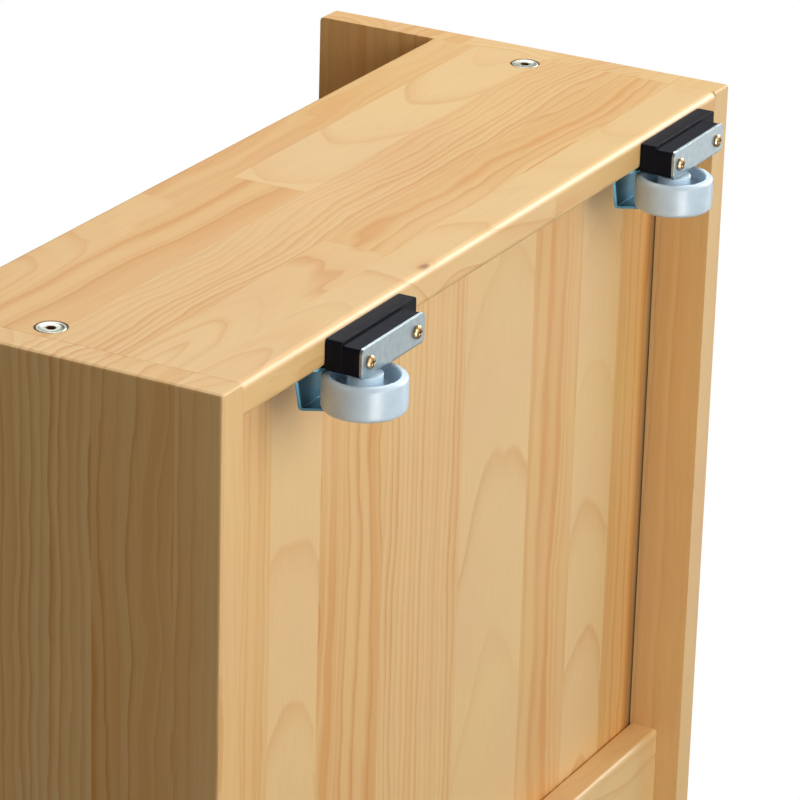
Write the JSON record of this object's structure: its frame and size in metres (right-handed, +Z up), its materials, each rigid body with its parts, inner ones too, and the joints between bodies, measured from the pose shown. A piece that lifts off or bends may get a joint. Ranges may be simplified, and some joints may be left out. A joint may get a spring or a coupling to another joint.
{
  "type": "rolling storage box",
  "caption": "Low open-topped solid pine box on fixed castors, with end boards taller than its sides, a floor set up inside the boards and a batten under it.",
  "frame": {"origin": "on the ground, under the middle of the cart", "axes": "+Z up, +Y the way the cart rolls, towards the back board, +X across it towards the right side board"},
  "size_m": [0.852, 0.544, 0.2875],
  "materials": {
    "pine": "satin",
    "beech": "matte",
    "black_plastic": "satin",
    "grey_plastic": "gloss",
    "zinc": "satin",
    "nickel": "gloss",
    "brass_plate": "satin"
  },
  "bodies": {
    "cart": {"front_board": "pine", "back_board": "pine", "right_side_board": "pine", "left_side_board": "pine", "right_floor_panel": "pine", "left_floor_panel": "pine", "floor_batten": "pine", "front_right_cam": "nickel", "front_right_cam_bolt": "zinc", "front_right_lower_dowel": "beech", "front_right_upper_dowel": "beech", "back_right_cam": "nickel", "back_right_cam_bolt": "zinc", "back_right_lower_dowel": "beech", "back_right_upper_dowel": "beech", "front_left_cam": "nickel", "front_left_cam_bolt": "zinc", "front_left_lower_dowel": "beech", "front_left_upper_dowel": "beech", "back_left_cam": "nickel", "back_left_cam_bolt": "zinc", "back_left_lower_dowel": "beech", "back_left_upper_dowel": "beech", "batten_front_dowel": "beech", "batten_back_dowel": "beech", "batten_screw_1": "zinc", "batten_screw_2": "zinc", "batten_screw_3": "zinc", "batten_screw_4": "zinc", "front_right_riser_base": "black_plastic", "front_right_riser_cap": "black_plastic", "front_right_bracket": "zinc", "front_right_axle": "zinc", "front_right_screw_1": "brass_plate", "front_right_screw_2": "brass_plate", "back_right_riser_base": "black_plastic", "back_right_riser_cap": "black_plastic", "back_right_bracket": "zinc", "back_right_axle": "zinc", "back_right_screw_1": "brass_plate", "back_right_screw_2": "brass_plate", "front_left_riser_base": "black_plastic", "front_left_riser_cap": "black_plastic", "front_left_bracket": "zinc", "front_left_axle": "zinc", "front_left_screw_1": "brass_plate", "front_left_screw_2": "brass_plate", "back_left_riser_base": "black_plastic", "back_left_riser_cap": "black_plastic", "back_left_bracket": "zinc", "back_left_axle": "zinc", "back_left_screw_1": "brass_plate", "back_left_screw_2": "brass_plate"},
    "front_right_wheel": {"front_right_wheel": "grey_plastic"},
    "back_right_wheel": {"back_right_wheel": "grey_plastic"},
    "front_left_wheel": {"front_left_wheel": "grey_plastic"},
    "back_left_wheel": {"back_left_wheel": "grey_plastic"}
  },
  "joints": [
    {"name": "front_right_wheel_spin", "type": "hinge", "parent": "cart", "child": "front_right_wheel", "pos_m": [0.3955, -0.1655, 0.021], "axis": [1, 0, 0], "continuous": true},
    {"name": "back_right_wheel_spin", "type": "hinge", "parent": "cart", "child": "back_right_wheel", "pos_m": [0.3955, 0.173, 0.021], "axis": [1, 0, 0], "continuous": true},
    {"name": "front_left_wheel_spin", "type": "hinge", "parent": "cart", "child": "front_left_wheel", "pos_m": [-0.3955, -0.173, 0.021], "axis": [1, 0, 0], "continuous": true},
    {"name": "back_left_wheel_spin", "type": "hinge", "parent": "cart", "child": "back_left_wheel", "pos_m": [-0.3955, 0.1655, 0.021], "axis": [1, 0, 0], "continuous": true}
  ]
}
